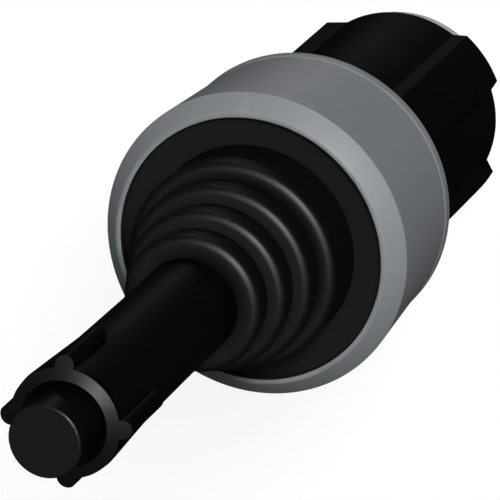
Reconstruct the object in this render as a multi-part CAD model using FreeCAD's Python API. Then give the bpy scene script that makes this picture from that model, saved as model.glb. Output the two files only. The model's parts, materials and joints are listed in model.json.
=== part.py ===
import FreeCAD, Part
import math
import os

# Panel joystick with a push button in the tip of its lever.
# Millimetres. +Z runs out of the panel towards the tip of the lever. The origin is on the
# lever's axis, in the plane of the panel's front face, where the bezel's rear rim rests.

Vector = FreeCAD.Vector
ORIGIN = Vector(0, 0, 0)
AXIS_X = Vector(1, 0, 0)
AXIS_Y = Vector(0, 1, 0)
AXIS_Z = Vector(0, 0, 1)

# Clearances
RUN = 0.05              # radial, a shaft or plunger that moves in its hole
SEAT = 0.05             # radial, a fixed piece in its bore
REACH = 0.01            # how far a cutting tool runs past the face that it opens
SWEEP_GAP = 0.5         # between the housing's bore and what tilts inside it

# Movement
TILT_DEG = 12.0         # lever, each way on both axes
BUTTON_TRAVEL = 2.5
PIVOT_DEPTH = 9.0       # below the bezel's front

# Collar, which passes a panel hole of 22.3 mm
COLLAR_R = 11.0
COLLAR_LEN = 4.5
COLLAR_RELIEF = 0.3     # where the collar passes the bezel's floor

# Bezel
BEZEL_H = 16.0
BEZEL_LEDGE = 1.5       # floor between the collar and the bore
BEZEL_RIM_WALL = 1.3
BEZEL_FRONT_WALL = 2.0
BEZEL_CHAMFER_H = 1.7
BEZEL_RIM_PROUD = 0.12  # rim over the waist in front of it
BEZEL_RIM_H = 1.2
BEZEL_RIM_SLOPE = 0.25
BEZEL_WAIST_ROUND = 0.2
BEZEL_LIP = 0.08
BEZEL_LAND = 0.4        # flat between the lip and the chamfer
BEZEL_FLOOR = 1.6

# Gasket in the bezel's rear face, drawn as fitted, flush with the rim
GASKET_INSET = 0.6      # from the collar
GASKET_W = 1.4
GASKET_T = 0.8

# Collar housing
CORE_STEP = 1.13        # from the collar down to the barrel
BARREL_WALL = 0.87
CARTRIDGE_LEDGE = 0.4
HOUSING_BACK = 26.0     # how far the housing reaches behind the panel
CARTRIDGE_DEPTH = 6.0   # of the ledge between its two bores, behind the panel
SEAL_INSET = 0.3
SEAL_W = 0.8
SEAL_T = 0.6
SNAP_IN = 3.5           # from the rear edge to the snap groove
SNAP_H = 0.9
SNAP_SLOPE = 0.25
SNAP_PROUD = 0.22

# Guide lobes on the housing: root and crest angles in degrees about Z, crest below the collar
LOBES = (
    (17.9, 22.0, 50.2, 57.0, 0.25),
    (120.6, 132.3, 152.0, 157.0, 0.05),
    (197.9, 202.0, 230.2, 237.0, 0.05),
    (300.0, 305.0, 331.6, 336.0, 0.05),
)
LOBE_SUNK = 0.5
LOBE_GAP = 0.6          # groove between the collar and the lobes

# Gate, bellows and clamp ring, stacked on the housing's flange
GATE_T = 1.2
GATE_PLAY = 0.15        # round the disc
GATE_GAP = 0.15         # round the tilted tube
GATE_CORNER_R = 1.0
CLAMP_RECESS = 0.8      # below the bezel's front
CLAMP_T = 1.6
BOOT_FLANGE_T = 1.2
BOOT_FLANGE_PLAY = 0.3
BOOT_WALL = 0.8
BOOT_FOOT_R = 9.6
BOOT_GAP = 0.14         # between the foot and the clamp ring
BOOT_FOOT_RISE = 0.6    # straight part of the foot above the clamp ring
BOOT_BULGE = 0.3        # how far the lowest ridge's corner stands out over the foot
BOOT_RISE = 5.8         # from the clamp ring to the lowest ridge's shoulder
# Each further ridge: how far its corner steps in, and up, from the one below
BOOT_STEPS = ((1.05, 3.45), (1.15, 3.45), (1.15, 3.4))
BOOT_UNDERCUT = 0.5     # how far a ridge's wall leans in towards the ridge below
BOOT_RIDGE_ROUND = 0.9
BOOT_CREASE_ROUND = 0.25
BOOT_NECK = 2.8         # length that grips the sleeve
BOOT_LIP = 0.12
NECK_GAP = 0.01         # between the neck and the sleeve

# Gimbal
HUB_TOP = 3.8           # above the pivot
HUB_BOTTOM = 4.2        # below the pivot
HUB_FOOT_W = 0.9        # where the hub stands on the swash plate, round the tube
HUB_FOOT_H = 1.7
HUB_GAP = 0.4           # between the hub and the ring
RING_H = 4.0
HUB_SHARE = 0.66        # hub's radius as a share of the ring's
TUBE_SHARE = 0.58       # tube's radius as a share of the hub's
PIN_R = 1.0
PIN_SINK = 0.2          # how far a pin's outer end lies inside the wall that holds it
PIN_SHORT = 0.3         # how far its inner end stays clear of what turns

# Lever
TUBE_WALL = 1.3
TUBE_LAND = 4.0         # narrow guide for the rod at the tube's lower end
CLIP_T = 0.7
CLIP_PROUD = 0.6        # round the tube
CLIP_GROOVE = 0.35
CLIP_GAP_DEG = 60.0
PLATE_T = 1.4
PLATE_ROUND = 0.3
LEVER_LENGTH = 44.3     # from the bezel's front to the sleeve's top
SLEEVE_START = 3.8      # over the clamp ring
# Radius of the sleeve, and how far below its top
SLEEVE_PROFILE = ((4.46, 20.3), (4.55, 10.3), (4.95, 1.8), (5.03, 0.0))
SLEEVE_FOOT_R = 4.4
END_RIM_H = 0.8         # end collar, over the sleeve
END_TAPER = 0.06        # from its foot to its front edge
END_FACE_W = 1.05       # its front rises over this width from the edge
END_FACE_RISE = 0.3
END_MOUTH_GAP = 0.17    # round the button
END_MOUTH_DROP = 0.4    # its front falls to the mouth
RIB_COUNT = 4
RIB_R = 0.85
RIB_OUT = 0.1           # axis of a rib outside the end collar's foot
RIB_LENGTH = 7.6

# Button
BUTTON_R = 3.3
BUTTON_PROUD = 4.3      # over the end collar
BUTTON_EDGE = 0.22
BUTTON_STOP = 3.3       # from the sleeve's top down to the step that stops its head
BUTTON_HEAD_LEDGE = 0.3
BUTTON_HEAD_H = 1.2
BUSH_WALL = 0.25
BUSH_DOWN = 1.3         # from the sleeve's top down to the bush
ROD_R = 1.2
ROD_HOLD = 3.0          # length of rod that the button's socket holds
BUTTON_SPRING_R = 2.25
BUTTON_SPRING_WIRE = 0.25
BUTTON_SPRING_TURNS = 4
BUTTON_SPRING_SPARE = 1.2

# Plungers under the swash plate
PLUNGER_R = 1.3
PLUNGER_COLLAR_T = 1.2
PLUNGER_PLAY = 0.45     # under the swash plate
PLUNGER_OUT = 1.0       # how far a plunger stands out of the rear cap
PLUNGER_EDGE = 0.3
PLUNGER_SIDE_GAP = 0.15  # between a plunger's collar and the guide's skirt
CENTRE_DISC_R = 3.2
CENTRE_DISC_T = 0.9
CENTRE_DISC_EDGE = 0.2
CENTRE_DISC_GAP = 0.1   # under the swash plate's lowest sweep
ROD_PLAY = 0.2
GUIDE_T = 2.5
GUIDE_SKIRT_T = 0.8
SPRING_SPACE = 6.6
SPRING_WIRE = 0.22
SPRING_PLAY = 0.23      # round the plunger
SPRING_TURNS = 4
SPRING_SEAT_T = 1.5
SPRING_SEAT_PLAY = 0.1
COLLAR_STOP_GAP = 0.25

# Wire of every spring: straight lengths in a turn, and sides
STEP_COUNT = 12
SIDE_COUNT = 6

# Rear cap
CAP_STEP = 0.37         # inside the housing's barrel
CAP_T = 1.0
CAP_EDGE = 0.15
CAP_SKIRT_T = 1.0
BEAD_SUNK = 0.3
CAP_KEY_H = 1.15        # raised key on the cap's rear face, for the contact carrier
CAP_KEY_T = 0.9
CAP_KEY_STEP = 0.25     # inside the cap's rim
CAP_KEY_AT = 76.0       # middle of the key, degrees about Z
CAP_KEY_SPREAD = 60.0   # degrees

# Radii worked out from the sizes above
BEZEL_BORE_R = COLLAR_R + BEZEL_LEDGE
BEZEL_RIM_R = BEZEL_BORE_R + BEZEL_RIM_WALL
BEZEL_WAIST_R = BEZEL_RIM_R - BEZEL_RIM_PROUD
BEZEL_R = BEZEL_BORE_R + BEZEL_FRONT_WALL
CORE_R = COLLAR_R - CORE_STEP
CARTRIDGE_BORE_R = CORE_R - BARREL_WALL
CARTRIDGE_R = CARTRIDGE_BORE_R - SEAT
HOUSING_BORE_R = CARTRIDGE_BORE_R - CARTRIDGE_LEDGE
GASKET_IN_R = COLLAR_R + GASKET_INSET
GASKET_OUT_R = GASKET_IN_R + GASKET_W
SEAL_IN_R = COLLAR_R + SEAL_INSET
SEAL_OUT_R = SEAL_IN_R + SEAL_W
CLAMP_IN_R = BOOT_FOOT_R + BOOT_GAP
RING_OUT_R = math.sqrt((HOUSING_BORE_R - SWEEP_GAP) ** 2 - (RING_H / 2) ** 2)
HUB_R = RING_OUT_R * HUB_SHARE
RING_IN_R = HUB_R + HUB_GAP
TUBE_R = HUB_R * TUBE_SHARE
TUBE_BORE_R = TUBE_R - TUBE_WALL
CLIP_R = TUBE_R + CLIP_PROUD
HUB_FOOT_R = TUBE_R + HUB_FOOT_W
BUTTON_HEAD_R = BUTTON_R + BUTTON_HEAD_LEDGE
BUSH_R = BUTTON_HEAD_R + RUN + BUSH_WALL
END_FOOT_R = SLEEVE_PROFILE[-1][0]
END_EDGE_R = END_FOOT_R - END_TAPER
END_CREST_R = END_EDGE_R - END_FACE_W
END_MOUTH_R = BUTTON_R + END_MOUTH_GAP
SPRING_R = PLUNGER_R + SPRING_PLAY + SPRING_WIRE
PLUNGER_COLLAR_R = SPRING_R + SPRING_WIRE
PLUNGER_AT_R = CARTRIDGE_R - GUIDE_SKIRT_T - PLUNGER_SIDE_GAP - PLUNGER_COLLAR_R
CAP_R = CORE_R - CAP_STEP

# Levels worked out from the sizes above, from the front to the rear
TILT = math.radians(TILT_DEG)
FULL_TILT = math.acos(math.cos(TILT) ** 2)      # both axes at their limit
WAIST_TOP = BEZEL_H - BEZEL_CHAMFER_H
PIVOT_Z = BEZEL_H - PIVOT_DEPTH
SLEEVE_TOP = BEZEL_H + LEVER_LENGTH
END_EDGE_Z = SLEEVE_TOP + END_RIM_H
END_FACE_Z = END_EDGE_Z + END_FACE_RISE
RIB_START_Z = END_EDGE_Z - RIB_LENGTH
BUTTON_TOP = END_FACE_Z + BUTTON_PROUD
BUTTON_STEP_Z = SLEEVE_TOP - BUTTON_STOP
BUTTON_LOW = BUTTON_STEP_Z - BUTTON_HEAD_H
BUSH_TOP = SLEEVE_TOP - BUSH_DOWN
CLAMP_TOP = BEZEL_H - CLAMP_RECESS
BOOT_FLANGE_TOP = CLAMP_TOP - CLAMP_T
GATE_TOP = BOOT_FLANGE_TOP - BOOT_FLANGE_T
FLANGE_TOP = GATE_TOP - GATE_T
BOOT_TOP = CLAMP_TOP + BOOT_RISE + sum(upwards for inwards, upwards in BOOT_STEPS)
SLEEVE_BOTTOM = CLAMP_TOP + SLEEVE_START
SEAL_TOP = BEZEL_FLOOR + SEAL_T
HUB_TOP_Z = PIVOT_Z + HUB_TOP
CLIP_TOP_Z = HUB_TOP_Z + CLIP_T
PLATE_TOP_Z = PIVOT_Z - HUB_BOTTOM
PLATE_BOTTOM_Z = PLATE_TOP_Z - PLATE_T
PLATE_DROP = PIVOT_Z - PLATE_BOTTOM_Z
PLUNGER_TOP_Z = PLATE_BOTTOM_Z - PLUNGER_PLAY
PLUNGER_STROKE = PLUNGER_AT_R * TILT
BUTTON_SPRING_SOLID = 2 * BUTTON_SPRING_WIRE * (BUTTON_SPRING_TURNS + 1)
TUBE_TOP = BUTTON_LOW - BUTTON_TRAVEL - BUTTON_SPRING_SOLID - BUTTON_SPRING_SPARE

# The plate clears the housing's bore with both axes at their limit
PLATE_R = (HOUSING_BORE_R - SWEEP_GAP - PLATE_DROP * math.sin(FULL_TILT)) / math.cos(FULL_TILT)

# The centre disc lies below the lowest sweep of the swash plate over it
PLATE_SWEEP = PLATE_DROP / math.cos(FULL_TILT) + CENTRE_DISC_R * math.tan(FULL_TILT)
DISC_TOP_Z = PIVOT_Z - PLATE_SWEEP - CENTRE_DISC_GAP
ROD_END_Z = DISC_TOP_Z + ROD_PLAY

GUIDE_TOP_Z = -CARTRIDGE_DEPTH
GUIDE_BOTTOM_Z = GUIDE_TOP_Z - GUIDE_T
PLUNGER_COLLAR_Z = GUIDE_BOTTOM_Z - PLUNGER_STROKE - COLLAR_STOP_GAP
SPRING_TOP_Z = PLUNGER_COLLAR_Z - PLUNGER_COLLAR_T
SPRING_SEAT_Z = SPRING_TOP_Z - SPRING_SPACE
SPRING_SEAT_BOTTOM_Z = SPRING_SEAT_Z - SPRING_SEAT_T
SNAP_Z = SNAP_IN - HOUSING_BACK
CAP_FACE_Z = -HOUSING_BACK - CAP_T
PLUNGER_END_Z = CAP_FACE_Z - PLUNGER_OUT


def turned(points, centre=ORIGIN):
    """A solid of revolution about Z. Each point is (radius, height, rounding)."""
    edges = []
    count = len(points)
    starts = []
    ends = []
    for i in range(count):
        here = Vector(points[i][0], 0, points[i][1])
        rounding = points[i][2] if len(points[i]) > 2 else 0.0
        before = Vector(points[i - 1][0], 0, points[i - 1][1]) - here
        after = Vector(points[(i + 1) % count][0], 0, points[(i + 1) % count][1]) - here
        if rounding > 0:
            half = before.getAngle(after) / 2.0
            setback = rounding / math.tan(half)
            setback = min(setback, 0.48 * before.Length, 0.48 * after.Length)
            start = here + before.normalize() * setback
            end = here + after.normalize() * setback
            bisector = (before + after).normalize()
            radius = setback * math.tan(half)
            middle = here + bisector * (radius / math.sin(half) - radius)
            edges.append(Part.Arc(start, middle, end).toShape())
            starts.append(start)
            ends.append(end)
        else:
            edges.append(None)
            starts.append(here)
            ends.append(here)
    outline = []
    for i in range(count):
        if edges[i] is not None:
            outline.append(edges[i])
        following = starts[(i + 1) % count]
        if (following - ends[i]).Length > 1e-6:
            outline.append(Part.makeLine(ends[i], following))
    wire = Part.Wire(Part.__sortEdges__(outline))
    solid = Part.Face(wire).revolve(ORIGIN, AXIS_Z, 360)
    solid.translate(centre)
    return solid


def rod(radius, low, high, x=0.0, y=0.0):
    """An upright cylinder between two heights."""
    return Part.makeCylinder(radius, high - low, Vector(x, y, low), AXIS_Z)


def ring(outer, inner, low, high, x=0.0, y=0.0):
    """An upright tube between two heights."""
    hole = rod(inner, low - REACH, high + REACH, x, y)
    return rod(outer, low, high, x, y).cut(hole)


def cross_rod(radius, inner, outer, axis, height):
    """Two cylinders on a horizontal axis, one on each side, from inner to outer radius."""
    one = Part.makeCylinder(radius, outer - inner, axis * inner + AXIS_Z * height, axis)
    other = Part.makeCylinder(radius, outer - inner, axis * -inner + AXIS_Z * height, axis * -1)
    return one, other


def wound_spring(radius, wire, low, high, turns, x=0.0, y=0.0):
    """A compression spring of straight lengths of six-sided wire, wound round Z."""
    count = turns * STEP_COUNT
    first = low + wire
    rise = (high - low - 2 * wire) / count
    points = []
    for i in range(count + 1):
        angle = 2 * math.pi * i / STEP_COUNT
        points.append(Vector(radius * math.cos(angle), radius * math.sin(angle), first + rise * i))
    along = (points[1] - points[0]).normalize()
    outward = Vector(math.cos(math.pi / STEP_COUNT), math.sin(math.pi / STEP_COUNT), 0)
    upward = along.cross(outward)
    section = []
    for k in range(SIDE_COUNT + 1):
        angle = 2 * math.pi * k / SIDE_COUNT
        section.append(points[0] + outward * (wire * math.cos(angle)) + upward * (wire * math.sin(angle)))
    sweep = Part.BRepOffsetAPI.MakePipeShell(Part.Wire(Part.makePolygon(points)))
    sweep.setTransitionMode(1)
    sweep.add(Part.Wire(Part.makePolygon(section)), False, False)
    sweep.setFrenetMode(True)
    sweep.build()
    sweep.makeSolid()
    spring = sweep.shape()
    spring.translate(Vector(x, y, 0))
    return spring


def around(angle_deg, radius, height=0.0):
    """A point at an angle about Z."""
    angle = math.radians(angle_deg)
    return Vector(radius * math.cos(angle), radius * math.sin(angle), height)


def bezel_ring():
    """Turned metal ring: waisted barrel, front chamfer, bore with a floor."""
    body = turned((
        (BEZEL_BORE_R + BEZEL_LIP + BEZEL_LAND, BEZEL_H),
        (BEZEL_BORE_R + BEZEL_LIP, BEZEL_H),
        (BEZEL_BORE_R, BEZEL_H - BEZEL_LIP * 2),
        (BEZEL_BORE_R, BEZEL_FLOOR),
        (COLLAR_R + SEAT, BEZEL_FLOOR),
        (COLLAR_R + SEAT, 0),
        (BEZEL_RIM_R, 0),
        (BEZEL_RIM_R, BEZEL_RIM_H - BEZEL_RIM_SLOPE),
        (BEZEL_WAIST_R, BEZEL_RIM_H, BEZEL_WAIST_ROUND),
        (BEZEL_R, WAIST_TOP),
    ))
    groove = ring(GASKET_OUT_R + SEAT, GASKET_IN_R - SEAT, -REACH, GASKET_T)
    return body.cut(groove)


def panel_gasket():
    """Flat rubber ring that seals the bezel to the panel."""
    return ring(GASKET_OUT_R, GASKET_IN_R, 0, GASKET_T)


def housing_seal():
    """Rubber ring between the housing's flange and the bezel's floor."""
    return ring(SEAL_OUT_R, SEAL_IN_R, BEZEL_FLOOR, SEAL_TOP)


def lobe(root_low, crest_low, crest_high, root_high, crest_drop):
    """One guide lobe along the housing, a sector with two sloping flanks."""
    crest_r = COLLAR_R - crest_drop
    buried = CORE_R - LOBE_SUNK
    flank_low = (crest_low - root_low) / (crest_r - CORE_R) * (CORE_R - buried)
    flank_high = (root_high - crest_high) / (crest_r - CORE_R) * (CORE_R - buried)
    low_foot = around(root_low - flank_low, buried)
    high_foot = around(root_high + flank_high, buried)
    low_crest = around(crest_low, crest_r)
    high_crest = around(crest_high, crest_r)
    crest_middle = around((crest_low + crest_high) / 2, crest_r)
    foot_middle = around((root_low + root_high) / 2, buried)
    outline = Part.Wire([
        Part.makeLine(low_foot, low_crest),
        Part.Arc(low_crest, crest_middle, high_crest).toShape(),
        Part.makeLine(high_crest, high_foot),
        Part.Arc(high_foot, foot_middle, low_foot).toShape(),
    ])
    solid = Part.Face(outline).extrude(AXIS_Z * (HOUSING_BACK - COLLAR_LEN - LOBE_GAP))
    solid.translate(AXIS_Z * -HOUSING_BACK)
    return solid


def collar_housing():
    """Moulded body: cup in the bezel, round collar in the panel, lobed barrel behind it."""
    flange_r = BEZEL_BORE_R - SEAT
    body = turned((
        (HOUSING_BORE_R, FLANGE_TOP),
        (HOUSING_BORE_R, GUIDE_TOP_Z),
        (CARTRIDGE_BORE_R, GUIDE_TOP_Z),
        (CARTRIDGE_BORE_R, -HOUSING_BACK),
        (CORE_R, -HOUSING_BACK),
        (CORE_R, -COLLAR_LEN),
        (COLLAR_R, -COLLAR_LEN),
        (COLLAR_R, 0),
        (COLLAR_R - COLLAR_RELIEF, 0),
        (COLLAR_R - COLLAR_RELIEF, BEZEL_FLOOR),
        (flange_r, BEZEL_FLOOR),
        (flange_r, FLANGE_TOP),
    ))
    for item in LOBES:
        body = body.fuse(lobe(*item))
    body = body.removeSplitter()
    body = body.cut(ring(SEAL_OUT_R + SEAT, SEAL_IN_R - SEAT, BEZEL_FLOOR - REACH, SEAL_TOP))
    for hole in cross_rod(PIN_R, HOUSING_BORE_R - PIN_R, BEZEL_BORE_R, AXIS_X, PIVOT_Z):
        body = body.cut(hole)
    snap = turned(snap_section(CARTRIDGE_BORE_R - REACH, SEAT))
    return body.cut(snap)


def snap_section(root_r, clearance):
    """Section of the round snap bead, or of its groove when a clearance is given."""
    half = SNAP_H / 2 + clearance
    crest_r = CARTRIDGE_R + SNAP_PROUD + clearance
    return (
        (root_r, SNAP_Z - half),
        (crest_r, SNAP_Z - half + SNAP_SLOPE),
        (crest_r, SNAP_Z + half - SNAP_SLOPE),
        (root_r, SNAP_Z + half),
    )


def gate_plate():
    """Steel plate whose square window limits the lever's tilt."""
    reach = GATE_TOP - PIVOT_Z
    half = reach * math.tan(TILT) / math.cos(TILT) + TUBE_R / math.cos(FULL_TILT) + GATE_GAP
    window = Part.makeBox(2 * half, 2 * half, 3 * GATE_T, Vector(-half, -half, FLANGE_TOP - GATE_T))
    uprights = [e for e in window.Edges if abs(e.tangentAt(e.FirstParameter).z) > 0.9]
    window = window.makeFillet(GATE_CORNER_R, uprights)
    return rod(BEZEL_BORE_R - GATE_PLAY, FLANGE_TOP, GATE_TOP).cut(window)


def bellows_outline():
    """Outer outline of the bellows from its foot to the corner of its top ridge."""
    radius = BOOT_FOOT_R + BOOT_BULGE
    height = CLAMP_TOP + BOOT_RISE
    outline = [(BOOT_FOOT_R, BOOT_FLANGE_TOP)]
    outline.append((BOOT_FOOT_R, CLAMP_TOP + BOOT_FOOT_RISE, BOOT_CREASE_ROUND))
    outline.append((radius, height, BOOT_RIDGE_ROUND))
    for inwards, upwards in BOOT_STEPS:
        radius -= inwards
        outline.append((radius - BOOT_UNDERCUT, height, BOOT_CREASE_ROUND))
        height += upwards
        outline.append((radius, height, BOOT_RIDGE_ROUND))
    return outline


def bellows():
    """Rubber boot: clamped flange, four stepped ridges and a neck that grips the sleeve."""
    neck_bottom = BOOT_TOP - BOOT_NECK
    neck_r = sleeve_radius(BOOT_TOP)
    outer = bellows_outline()
    inner = [(p[0] - BOOT_WALL, p[1] - BOOT_WALL / 2) for p in reversed(outer[1:])]
    inner = [p for p in inner if p[1] < neck_bottom and p[0] > neck_r]
    flange_r = BEZEL_BORE_R - BOOT_FLANGE_PLAY
    outline = [(flange_r, GATE_TOP), (flange_r, BOOT_FLANGE_TOP)]
    outline += outer
    outline += [(neck_r + BOOT_LIP, BOOT_TOP), (neck_r - BOOT_LIP, BOOT_TOP)]
    outline += [(neck_r - BOOT_LIP, neck_bottom)]
    outline += inner
    outline += [(BOOT_FOOT_R - BOOT_WALL, GATE_TOP)]
    return turned(outline).cut(sleeve_blank(NECK_GAP))


def sleeve_points(extra=0.0):
    """Radius and height of the sleeve's outline from its foot up, grown by a radial amount."""
    points = [(SLEEVE_FOOT_R + extra, SLEEVE_BOTTOM)]
    points += [(radius + extra, SLEEVE_TOP - drop) for radius, drop in SLEEVE_PROFILE]
    return points


def sleeve_radius(height):
    """Outer radius of the lever's sleeve at a height."""
    points = sleeve_points()
    for (low_r, low_z), (high_r, high_z) in zip(points, points[1:]):
        if low_z <= height <= high_z:
            return low_r + (high_r - low_r) * (height - low_z) / (high_z - low_z)
    return points[-1][0]


def boot_clamp_ring():
    """Flat black ring that holds the bellows' flange in the bezel."""
    return ring(BEZEL_BORE_R - SEAT, CLAMP_IN_R, BOOT_FLANGE_TOP, CLAMP_TOP)


def ring_pivot_pins():
    """Two fixed pins on X that carry the gimbal ring."""
    outer = BEZEL_BORE_R - SEAT - PIN_SINK
    return Part.makeCompound(cross_rod(PIN_R, RING_IN_R + PIN_SHORT, outer, AXIS_X, PIVOT_Z))


def gimbal_ring():
    """Ring that turns on X and carries the lever's hub on Y."""
    low = PIVOT_Z - RING_H / 2
    body = ring(RING_OUT_R, RING_IN_R, low, low + RING_H)
    for hole in cross_rod(PIN_R + RUN, RING_IN_R - PIN_R, RING_OUT_R + REACH, AXIS_X, PIVOT_Z):
        body = body.cut(hole)
    for hole in cross_rod(PIN_R, RING_IN_R - PIN_R, RING_OUT_R + REACH, AXIS_Y, PIVOT_Z):
        body = body.cut(hole)
    return body


def lever_pivot_pins():
    """Two pins on Y, pressed in the gimbal ring, that carry the lever's hub."""
    outer = RING_OUT_R - PIN_SINK
    return Part.makeCompound(cross_rod(PIN_R, TUBE_R + PIN_SHORT, outer, AXIS_Y, PIVOT_Z))


def lever_hub():
    """Ball-shaped hub of the lever, flat above and with a round foot below."""
    ball = Part.makeSphere(HUB_R, Vector(0, 0, PIVOT_Z))
    ball = ball.common(rod(HUB_R + REACH, PLATE_TOP_Z, HUB_TOP_Z))
    ball = ball.fuse(rod(HUB_FOOT_R, PLATE_TOP_Z, PLATE_TOP_Z + HUB_FOOT_H))
    ball = ball.cut(rod(TUBE_R, PLATE_TOP_Z - REACH, HUB_TOP_Z + REACH))
    for hole in cross_rod(PIN_R + RUN, TUBE_R - PIN_R, HUB_R + REACH, AXIS_Y, PIVOT_Z):
        ball = ball.cut(hole)
    return ball.removeSplitter()


def lever_tube():
    """Steel tube of the lever: a guide land for the rod and a groove for the clip."""
    groove_r = TUBE_R - CLIP_GROOVE
    return turned((
        (ROD_R + RUN, PLATE_BOTTOM_Z),
        (TUBE_R, PLATE_BOTTOM_Z),
        (TUBE_R, HUB_TOP_Z),
        (groove_r, HUB_TOP_Z),
        (groove_r, CLIP_TOP_Z),
        (TUBE_R, CLIP_TOP_Z),
        (TUBE_R, TUBE_TOP),
        (TUBE_BORE_R, TUBE_TOP),
        (TUBE_BORE_R, PLATE_BOTTOM_Z + TUBE_LAND),
        (ROD_R + RUN, PLATE_BOTTOM_Z + TUBE_LAND),
    ))


def hub_clip():
    """Open clip in the tube's groove that holds the hub down on the swash plate."""
    body = ring(CLIP_R, TUBE_R - CLIP_GROOVE, HUB_TOP_Z, CLIP_TOP_Z)
    half = CLIP_GAP_DEG / 2
    far = CLIP_R / math.cos(math.radians(half)) + REACH
    low = HUB_TOP_Z - REACH
    notch = Part.Face(Part.makePolygon([
        Vector(0, 0, low),
        around(-half, far, low),
        around(half, far, low),
        Vector(0, 0, low),
    ])).extrude(AXIS_Z * (CLIP_T + 2 * REACH))
    return body.cut(notch)


def swash_plate():
    """Round plate under the hub that pushes the plungers."""
    return turned((
        (TUBE_R, PLATE_TOP_Z),
        (TUBE_R, PLATE_BOTTOM_Z),
        (PLATE_R, PLATE_BOTTOM_Z, PLATE_ROUND),
        (PLATE_R, PLATE_TOP_Z, PLATE_ROUND),
    ))


def sleeve_blank(extra=0.0):
    """The sleeve's outer form without its channels, grown by a radial amount."""
    return turned([(0, SLEEVE_BOTTOM)] + sleeve_points(extra) + [(0, SLEEVE_TOP)])


def rib_bars(extra):
    """Round bars along the sleeve's end, grown by a radial amount."""
    bars = []
    for i in range(RIB_COUNT):
        place = around(i * 360.0 / RIB_COUNT, END_FOOT_R + RIB_OUT)
        bars.append(rod(RIB_R + extra, RIB_START_Z - extra, END_FACE_Z, place.x, place.y))
    return bars


def grip_sleeve():
    """Black moulded sleeve of the lever, with a channel for each rib of the end collar."""
    body = sleeve_blank()
    body = body.cut(rod(TUBE_R + SEAT, SLEEVE_BOTTOM - REACH, TUBE_TOP))
    body = body.cut(rod(BUSH_R + SEAT, TUBE_TOP - REACH, SLEEVE_TOP + REACH))
    for bar in rib_bars(SEAT):
        body = body.cut(bar)
    return body


def grip_end_collar():
    """Ring at the lever's end whose half-round ribs run back along the sleeve."""
    nose = turned((
        (END_MOUTH_R, SLEEVE_TOP),
        (END_FOOT_R, SLEEVE_TOP),
        (END_EDGE_R, END_EDGE_Z),
        (END_CREST_R, END_FACE_Z),
        (END_MOUTH_R, END_FACE_Z - END_MOUTH_DROP),
    ))
    # The ribs end in the same cone as the ring's front
    fall = END_FACE_RISE / END_FACE_W
    reach_r = END_FOOT_R + RIB_OUT + RIB_R + REACH
    inner_r = BUSH_R + SEAT * 2
    cone = turned((
        (inner_r, RIB_START_Z - REACH),
        (reach_r, RIB_START_Z - REACH),
        (reach_r, END_EDGE_Z - fall * (reach_r - END_EDGE_R)),
        (inner_r, END_EDGE_Z - fall * (inner_r - END_EDGE_R)),
    ))
    for bar in rib_bars(0.0):
        nose = nose.fuse(bar.common(cone))
    return nose.removeSplitter()


def button_bush():
    """Bush in the sleeve that guides the button and stops its head."""
    return turned((
        (BUTTON_R + RUN, BUSH_TOP),
        (BUTTON_R + RUN, BUTTON_STEP_Z),
        (BUTTON_HEAD_R + RUN, BUTTON_STEP_Z),
        (BUTTON_HEAD_R + RUN, TUBE_TOP),
        (BUSH_R, TUBE_TOP),
        (BUSH_R, BUSH_TOP),
    ))


def tip_button():
    """Flat round button with a wider head inside the bush and a socket for the rod."""
    return turned((
        (ROD_R, BUTTON_LOW),
        (BUTTON_HEAD_R, BUTTON_LOW),
        (BUTTON_HEAD_R, BUTTON_STEP_Z - RUN),
        (BUTTON_R, BUTTON_STEP_Z - RUN),
        (BUTTON_R, BUTTON_TOP, BUTTON_EDGE),
        (0, BUTTON_TOP),
        (0, BUTTON_LOW + ROD_HOLD),
        (ROD_R, BUTTON_LOW + ROD_HOLD),
    ))


def push_rod():
    """Rod through the lever's tube, with a round lower end."""
    body = rod(ROD_R, ROD_END_Z + ROD_R, BUTTON_LOW + ROD_HOLD)
    return body.fuse(Part.makeSphere(ROD_R, Vector(0, 0, ROD_END_Z + ROD_R))).removeSplitter()


def button_spring():
    """Spring round the rod, from the tube's end to the button's head."""
    return wound_spring(BUTTON_SPRING_R, BUTTON_SPRING_WIRE, TUBE_TOP, BUTTON_LOW,
                        BUTTON_SPRING_TURNS)


def plunger_places():
    """Side and place of each plunger round the centre one."""
    sides = ("east", "north", "west", "south")
    return [(side, around(i * 90.0, PLUNGER_AT_R)) for i, side in enumerate(sides)]


def plunger_stem():
    """Outline of a plunger from its rear end to the top of its stop collar."""
    return [
        (0, PLUNGER_END_Z),
        (PLUNGER_R, PLUNGER_END_Z, PLUNGER_EDGE),
        (PLUNGER_R, SPRING_TOP_Z),
        (PLUNGER_COLLAR_R, SPRING_TOP_Z),
        (PLUNGER_COLLAR_R, PLUNGER_COLLAR_Z),
        (PLUNGER_R, PLUNGER_COLLAR_Z),
    ]


def side_plunger(place):
    """Plunger with a domed top under the swash plate."""
    dome = PLUNGER_TOP_Z - PLUNGER_R
    body = turned(plunger_stem() + [(PLUNGER_R, dome), (0, dome)], place)
    return body.fuse(Part.makeSphere(PLUNGER_R, place + AXIS_Z * dome)).removeSplitter()


def centre_plunger():
    """Plunger under the push rod, with a wide disc that the swinging rod stays on."""
    low = DISC_TOP_Z - CENTRE_DISC_T
    disc = [
        (PLUNGER_R, low),
        (CENTRE_DISC_R, low),
        (CENTRE_DISC_R, DISC_TOP_Z, CENTRE_DISC_EDGE),
        (0, DISC_TOP_Z),
    ]
    return turned(plunger_stem() + disc)


def plunger_guide():
    """Guide with five holes and a skirt that holds the spring seat off it."""
    body = rod(CARTRIDGE_R, SPRING_SEAT_Z, GUIDE_TOP_Z)
    body = body.cut(rod(CARTRIDGE_R - GUIDE_SKIRT_T, SPRING_SEAT_Z - REACH, GUIDE_BOTTOM_Z))
    return body.cut(five_holes(PLUNGER_R + RUN, SPRING_SEAT_Z, GUIDE_TOP_Z))


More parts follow.
